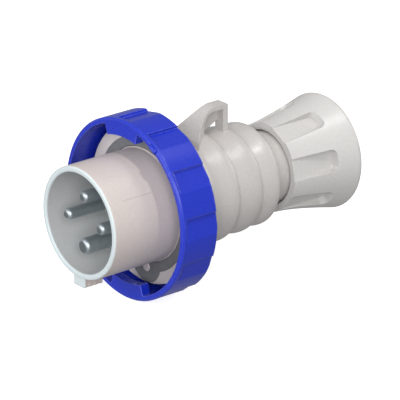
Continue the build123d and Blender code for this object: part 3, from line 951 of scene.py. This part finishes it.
@dataclass
class RearGrip:
    """The rear housing, with the fine thread on its neck."""

    workshop: Workshop
    neck_radius: float = 15.8 * MM
    thread_front: float = 70.0 * MM
    thread_rear: float = 79.2 * MM
    thread_pitch: float = 1.5 * MM
    ridge_height: float = 0.07 * MM
    ridge_foot: float = 0.5 * MM
    ridge_sunk: float = 0.1 * MM
    fade_turns: float = 0.25
    steps_per_turn: int = 96

    def build(self) -> None:
        """Dresses the housing and makes its thread."""
        self.workshop.dress(GRIP_GREY, "rear_housing")
        self.workshop.grid_piece("neck_thread", self.thread_points(), Body.PLUG, GRIP_GREY)

    def thread_points(self) -> np.ndarray:
        """Points of the thread's ridge, a four-cornered section carried along a helix.

        The helix turns round Y and advances by the pitch each turn. The section has two feet
        sunk in the neck and two crest corners, and it fades to nothing at both ends.

        Returns:
            Array of shape (steps, 4, 3).
        """
        turns = (self.thread_rear - self.thread_front) / self.thread_pitch
        count = int(turns * self.steps_per_turn) + 1
        turn = np.linspace(0.0, turns, count)
        fade = np.clip(np.minimum(turn, turns - turn) / self.fade_turns, 0.0, 1.0)
        low = self.neck_radius - self.ridge_sunk
        crest = self.neck_radius + self.ridge_height * fade
        side = np.array([-1.0, -0.35, 0.35, 1.0]) * self.ridge_foot
        radius = np.stack([np.full(count, low), crest, crest, np.full(count, low)], 1)
        along = self.thread_front + turn[:, None] * self.thread_pitch + side[None, :]
        angle = 2.0 * math.pi * turn[:, None]
        return around_axis(radius, along, angle)[:, ::-1]


@dataclass
class CableGland:
    """The flared nut, with the seal, the slip washer and the clamp basket in it."""

    workshop: Workshop

    def build(self) -> None:
        """Dresses the gland's pieces."""
        self.workshop.dress(NUT_GREY, "gland_nut")
        self.workshop.dress(CARRIER, "clamp_basket", "thrust_ring")
        self.workshop.dress(SEAL, "gland_seal")


@dataclass(frozen=True)
class SoftBox:
    """A round studio lamp that faces the plug.

    Attributes:
        name: The lamp's name.
        direction: Where it hangs, seen from the plug.
        distance: How far away it hangs.
        width: Its diameter.
        power: Its power in watts.
        colour: Its colour.
    """

    name: str
    direction: Triple
    distance: float
    width: float
    power: float
    colour: Colour = (1.0, 1.0, 1.0)


@dataclass
class Studio:
    """The white floor, the lamps, the even surround and the camera."""

    camera_place: Triple = (1.21097, -0.96868, 0.62095)
    camera_azimuth: float = 50.466
    camera_elevation: float = 21.7687
    lens: float = 360.0
    sensor: float = 36.0
    clip: tuple[float, float] = (0.1, 20.0)
    aim: Triple = (0.0, 0.035, 0.0)
    floor_side: float = 6.0
    floor_glow: float = 0.80
    floor_shades: tuple[float, float] = (0.60, 0.64)
    floor_roughness: float = 0.9
    surround_strength: float = 0.34
    lamps: tuple[SoftBox, ...] = field(
        default_factory=lambda: (
            SoftBox("key_lamp", (0.40, 0.02, 0.915), 1.6, 0.05, 5.8, (1.0, 0.97, 0.95)),
            SoftBox("camera_lamp", (0.71, -0.59, 0.37), 1.5, 0.9, 13.5),
            SoftBox("front_lamp", (-0.15, -0.95, 0.28), 1.5, 0.9, 10.0, (0.97, 0.99, 1.0)),
            SoftBox("rear_lamp", (0.25, 0.35, 0.90), 1.5, 0.4, 3.2),
            SoftBox("back_lamp", (0.10, 0.95, 0.30), 1.5, 0.9, 4.0),
        )
    )

    def build(self) -> None:
        """Builds the whole studio."""
        self.build_camera()
        self.build_surround()
        self.build_floor()
        for lamp in self.lamps:
            self.build_lamp(lamp)

    def build_camera(self) -> None:
        """Places the camera at the picture's angle, upright, looking down along its back axis."""
        azimuth = math.radians(self.camera_azimuth)
        elevation = math.radians(self.camera_elevation)
        flat = math.cos(elevation)
        back = Vector((flat * math.sin(azimuth), -flat * math.cos(azimuth), math.sin(elevation)))
        right = Vector((math.cos(azimuth), math.sin(azimuth), 0.0))
        turn = Matrix((right, back.cross(right), back)).transposed().to_4x4()
        camera = bpy.data.objects.new("camera", bpy.data.cameras.new("camera"))
        camera.data.lens = self.lens
        camera.data.sensor_width = self.sensor
        camera.data.clip_start, camera.data.clip_end = self.clip
        camera.matrix_world = Matrix.Translation(Vector(self.camera_place)) @ turn
        bpy.context.scene.collection.objects.link(camera)
        bpy.context.scene.camera = camera

    def build_surround(self) -> None:
        """Lights everything evenly from all sides and keeps the colours as they are."""
        world = bpy.data.worlds.new("surround")
        world.use_nodes = True
        background = world.node_tree.nodes["Background"]
        background.inputs["Color"].default_value = (1.0, 1.0, 1.0, 1.0)
        background.inputs["Strength"].default_value = self.surround_strength
        bpy.context.scene.world = world
        bpy.context.scene.view_settings.view_transform = "Standard"

    def build_floor(self) -> None:
        """Lays the floor just under the plug. It glows white and throws no light on the plug."""
        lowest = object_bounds()[0].z
        half = self.floor_side / 2.0
        square = ((-half, -half), (half, -half), (half, half), (-half, half))
        corners = [(across, along, lowest) for across, along in square]
        mesh = bpy.data.meshes.new("floor")
        mesh.from_pydata(corners, [], [(0, 1, 2, 3)])
        mesh.update()
        board = NodeBoard("floor_paper")
        shade = board.ranged(board.noise(board.place(), 2.0), 0.3, 0.7, *self.floor_shades)
        board.feed(board.shader.inputs["Base Color"], shade)
        board.shader.inputs["Roughness"].default_value = self.floor_roughness
        board.shader.inputs["Emission Color"].default_value = (1.0, 1.0, 1.0, 1.0)
        board.shader.inputs["Emission Strength"].default_value = self.floor_glow
        mesh.materials.append(board.material)
        floor = bpy.data.objects.new("floor", mesh)
        floor.visible_diffuse = False
        floor.visible_glossy = False
        bpy.context.scene.collection.objects.link(floor)
        floor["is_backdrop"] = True

    def build_lamp(self, lamp: SoftBox) -> None:
        """Hangs a lamp and turns it to the plug.

        Args:
            lamp: The lamp's description.
        """
        data = bpy.data.lights.new(lamp.name, "AREA")
        data.shape = "DISK"
        data.size = lamp.width
        data.energy = lamp.power
        data.color = lamp.colour
        toward = Vector(lamp.direction).normalized()
        hung = bpy.data.objects.new(lamp.name, data)
        hung.location = Vector(self.aim) + toward * lamp.distance
        hung.rotation_euler = toward.to_track_quat("Z", "Y").to_euler()
        bpy.context.scene.collection.objects.link(hung)


def main() -> None:
    """Builds the plug's sub-assemblies in order, then the studio."""
    logging.basicConfig(level=logging.INFO, format="%(name)s: %(message)s")
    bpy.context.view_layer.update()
    workshop = Workshop(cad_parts)
    for assembly in (FrontShell, ContactSet, BayonetRing, RearGrip, CableGland):
        assembly(workshop).build()
    Studio().build()


if __name__ == "__main__":
    main()
